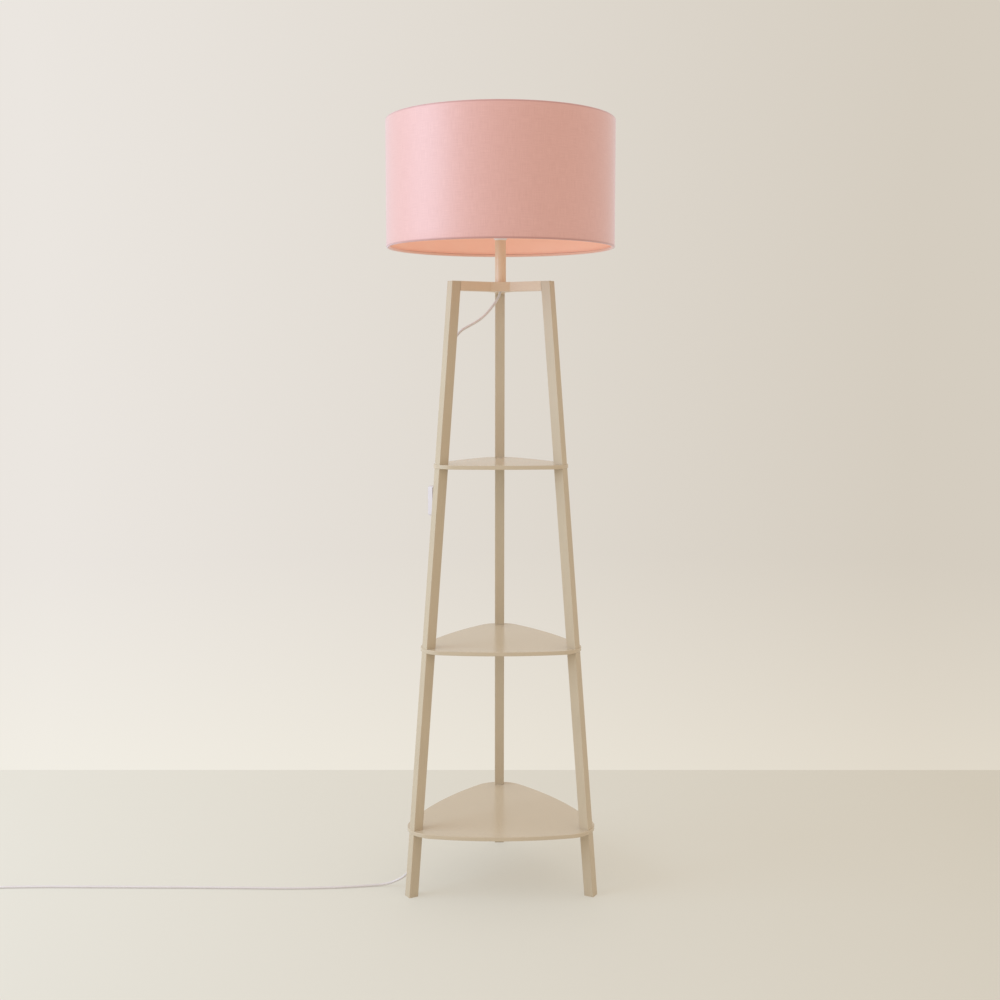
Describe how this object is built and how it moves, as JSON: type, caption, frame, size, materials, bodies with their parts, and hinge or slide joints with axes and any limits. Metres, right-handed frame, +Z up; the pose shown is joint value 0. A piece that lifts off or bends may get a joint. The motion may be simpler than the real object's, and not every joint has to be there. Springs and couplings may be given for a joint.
{
  "type": "floor_lamp",
  "caption": "Shelf floor lamp: leaning square wooden legs, rounded triangular shelves, a drum fabric shade on a short stem and a white cord with a rocker switch.",
  "frame": {"origin": "on the floor, under the axis of the shade and stem", "axes": "+Z up, -Y to the front between the two front legs, +X to the right"},
  "size_m": [1.4095, 0.454, 1.5423],
  "materials": {
    "painted_wood": "satin paint",
    "bare_wood": "bare",
    "zinc_steel": "zinc plated",
    "brass": "plain",
    "painted_steel": "satin paint",
    "white_plastic": "smooth",
    "ceramic": "glazed",
    "shade_fabric": "fine weave",
    "shade_liner": "smooth white",
    "white_steel": "white paint",
    "opal_glass": "opal",
    "nickel_cap": "nickel plated",
    "black_glass": "glassy",
    "cord_sheath": "smooth PVC",
    "core_sheath": "smooth"
  },
  "bodies": {
    "lamp": {"cord_bush": "white_plastic", "cord_clips": "white_plastic", "cord_coil": "cord_sheath", "cord_lower": "cord_sheath", "cord_tail": "cord_sheath", "cord_tie": "white_plastic", "cord_upper": "cord_sheath", "head_arm_front_left": "painted_wood", "head_arm_front_right": "painted_wood", "head_arm_rear": "painted_wood", "head_dowels": "bare_wood", "head_hub": "painted_wood", "holder_body": "white_plastic", "holder_cap": "white_plastic", "holder_contact": "brass", "holder_insert": "ceramic", "holder_shell": "brass", "holder_terminals": "brass", "inner_lead": "cord_sheath", "insert_nuts": "brass", "joining_studs": "zinc_steel", "lead_cores": "core_sheath", "leg_front_left_foot": "painted_wood", "leg_front_left_lower": "painted_wood", "leg_front_left_middle": "painted_wood", "leg_front_left_upper": "painted_wood", "leg_front_right_foot": "painted_wood", "leg_front_right_lower": "painted_wood", "leg_front_right_middle": "painted_wood", "leg_front_right_upper": "painted_wood", "leg_rear_foot": "painted_wood", "leg_rear_lower": "painted_wood", "leg_rear_middle": "painted_wood", "leg_rear_upper": "painted_wood", "plug_body": "white_plastic", "plug_pins": "nickel_cap", "plug_relief": "white_plastic", "rod_nut": "zinc_steel", "rod_washer": "zinc_steel", "shelf_bottom": "painted_wood", "shelf_middle": "painted_wood", "shelf_top": "painted_wood", "stem_end_plugs": "white_plastic", "stem_tube": "painted_steel", "switch_base": "white_plastic", "switch_contacts": "brass", "switch_cover": "white_plastic", "switch_screws": "zinc_steel", "threaded_rod": "zinc_steel"},
    "rocker": {"switch_rocker": "white_plastic"},
    "shade": {"shade_fabric": "shade_fabric", "shade_liner": "shade_liner", "shade_rings": "zinc_steel", "shade_spokes": "white_steel", "fitter_ring": "white_steel"},
    "collar": {"shade_collar": "white_plastic"},
    "bulb": {"bulb_glass": "opal_glass", "bulb_cap": "nickel_cap", "bulb_insulator": "black_glass"}
  },
  "joints": [
    {"name": "switch_rocker_tilt", "type": "hinge", "parent": "lamp", "child": "rocker", "pos_m": [-0.13165, -0.04598, 0.7935], "axis": [-0.866, -0.5, 0], "range_deg": [-16, 0]},
    {"name": "shade_turn", "type": "hinge", "parent": "lamp", "child": "shade", "pos_m": [0, 0, 1.339], "axis": [0, 0, 1], "continuous": true},
    {"name": "collar_turn", "type": "hinge", "parent": "lamp", "child": "collar", "pos_m": [0, 0, 1.344], "axis": [0, 0, 1], "range_deg": [0, 720]},
    {"name": "bulb_removal", "type": "slide", "parent": "lamp", "child": "bulb", "axis": [0, 0, 1], "range_m": [0, 0.21]}
  ]
}
